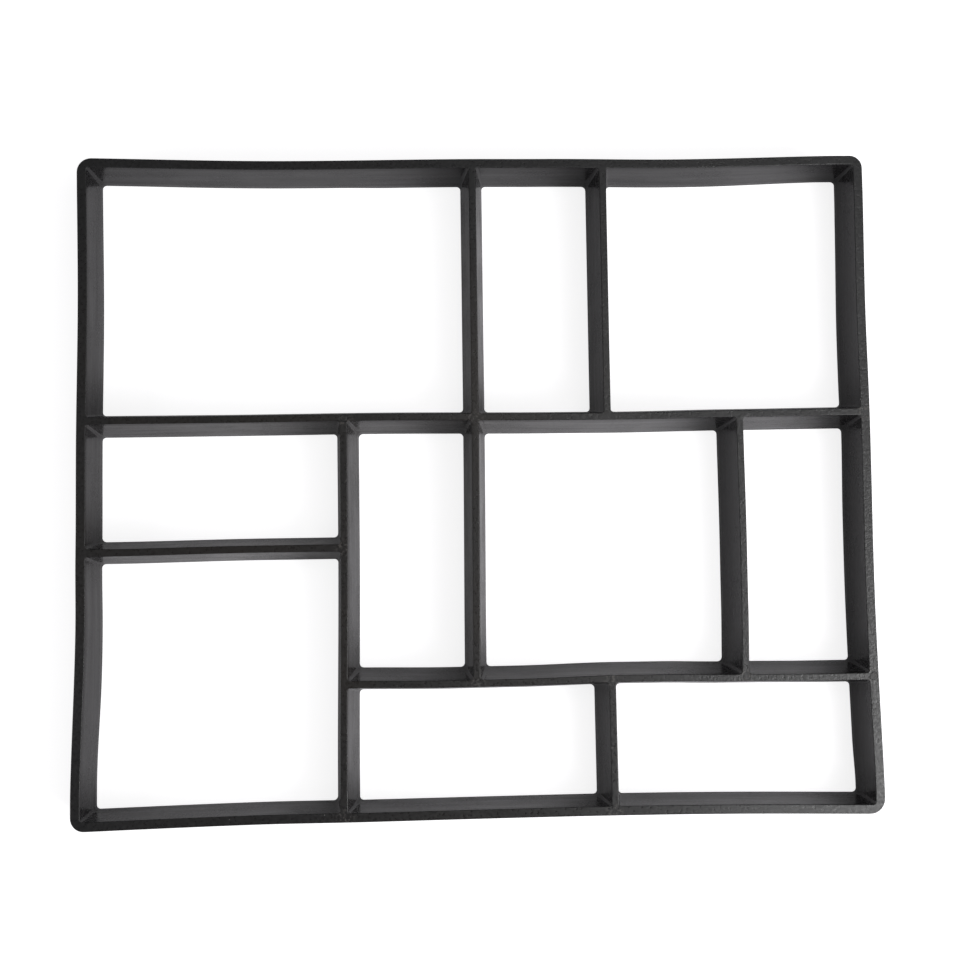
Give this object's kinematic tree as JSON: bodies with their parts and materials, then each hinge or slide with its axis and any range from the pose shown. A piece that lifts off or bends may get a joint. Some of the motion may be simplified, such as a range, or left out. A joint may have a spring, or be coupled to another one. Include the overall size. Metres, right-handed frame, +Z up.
{
  "type": "concrete paving mould",
  "caption": "Flat one-piece plastic lattice of tapered walls and open rectangular cells, filled with concrete on the ground to cast a path of fitted pavers.",
  "frame": {"origin": "middle of the nominal width and depth, on the wide base that it lies on", "axes": "+X across the width, +Y from front to back, +Z up from the wide base to the narrow rims"},
  "size_m": [0.6008, 0.5008, 0.05],
  "materials": {
    "black_plastic": "satin black moulded polypropylene, finely mottled on the rims"
  },
  "bodies": {
    "root": {"paving_mould": "black_plastic"}
  },
  "joints": []
}
